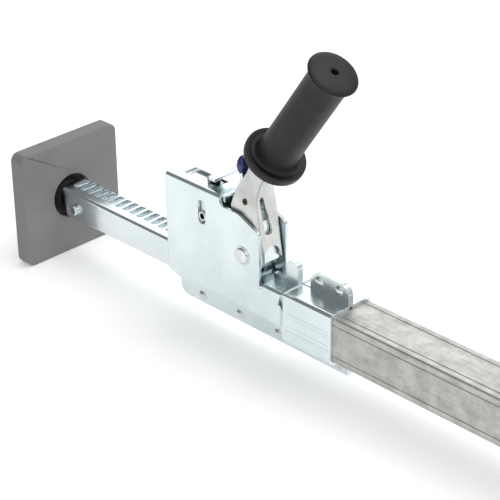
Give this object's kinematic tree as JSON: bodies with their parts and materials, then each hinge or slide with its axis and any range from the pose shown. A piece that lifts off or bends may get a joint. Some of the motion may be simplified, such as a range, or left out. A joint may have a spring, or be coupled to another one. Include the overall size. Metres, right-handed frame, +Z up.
{
  "type": "ratcheting cargo bar",
  "caption": "Telescoping bar with a square tube, a toothed sliding bar, a ratchet housing with a lever, and a swivelling square foot pad at each end.",
  "frame": {"origin": "bottom centre of the bounding box at rest: midway between the outer faces of the two pads, on the bar's middle plane, at the pads' lower edge", "axes": "+X along the bar from the ratchet end's pad to the outer tube's pad, +Y away from the side with the lever's open view (across the bar), +Z up, the way the lever stands"},
  "size_m": [1.121, 0.1016, 0.2605],
  "materials": {
    "tube_aluminium": "extruded, brushed lengthwise",
    "zinc_sheet": "bright zinc plate on folded sheet",
    "zinc_bar": "bright zinc plate on drawn tube",
    "rivet_steel": "bright zinc plate",
    "pin_steel": "turned steel, plated",
    "spring_steel": "spring wire",
    "brown_pin": "oiled spring steel",
    "black_nylon": "moulded, satin",
    "grey_rubber": "moulded, matte",
    "black_grip": "moulded, soft satin",
    "blue_dip": "dipped vinyl, glossy"
  },
  "bodies": {
    "tube_and_housing": {"outer_tube": "tube_aluminium", "housing": "zinc_sheet", "bottom_rivets": "rivet_steel", "top_rivets": "rivet_steel", "spring_plate": "rivet_steel", "pivot_pin": "pin_steel", "pivot_bushes": "pin_steel", "end_plug": "black_nylon", "right_swivel_pin": "pin_steel", "holding_spring": "spring_steel"},
    "ratchet_bar_body": {"ratchet_bar": "zinc_bar", "bar_end_guide": "black_nylon", "left_swivel_pin": "pin_steel"},
    "left_foot": {"left_pad": "grey_rubber", "left_hub": "black_nylon", "left_plate": "pin_steel", "left_hub_screw": "pin_steel"},
    "right_foot": {"right_pad": "grey_rubber", "right_hub": "black_nylon", "right_plate": "pin_steel", "right_hub_screw": "pin_steel"},
    "lever": {"handle_lever": "zinc_sheet", "handle_grip": "black_grip", "pivot_sleeve": "pin_steel", "roll_pin": "brown_pin", "drive_spring": "spring_steel"},
    "drive_pawl_body": {"drive_pawl": "zinc_sheet", "trigger_tab": "blue_dip"},
    "holding_pawl_body": {"holding_pawl": "zinc_sheet", "holding_pin": "pin_steel"}
  },
  "joints": [
    {"name": "ratchet_slide", "type": "slide", "parent": "tube_and_housing", "child": "ratchet_bar_body", "axis": [-1, 0, 0], "range_m": [-0.105, 0.6475]},
    {"name": "left_foot_swivel", "type": "hinge", "parent": "ratchet_bar_body", "child": "left_foot", "pos_m": [-0.5265, 0, 0.0484], "axis": [0, 1, 0], "range_deg": [-10, 10]},
    {"name": "right_foot_swivel", "type": "hinge", "parent": "tube_and_housing", "child": "right_foot", "pos_m": [0.5265, 0, 0.0484], "axis": [0, 1, 0], "range_deg": [-10, 10]},
    {"name": "lever_swing", "type": "hinge", "parent": "tube_and_housing", "child": "lever", "pos_m": [-0.3235, 0, 0.0828], "axis": [0, 1, 0], "range_deg": [-10, 50]},
    {"name": "drive_pawl_lift", "type": "slide", "parent": "lever", "child": "drive_pawl_body", "axis": [-0.1444, 0, 0.9895], "range_m": [-0.0023, 0.004], "stiffness_N_per_m": 1500, "deforming": ["drive_spring"]},
    {"name": "holding_pawl_lift", "type": "slide", "parent": "tube_and_housing", "child": "holding_pawl_body", "axis": [0, 0, 1], "range_m": [-0.0023, 0.005], "stiffness_N_per_m": 2000, "deforming": ["holding_spring"]}
  ]
}
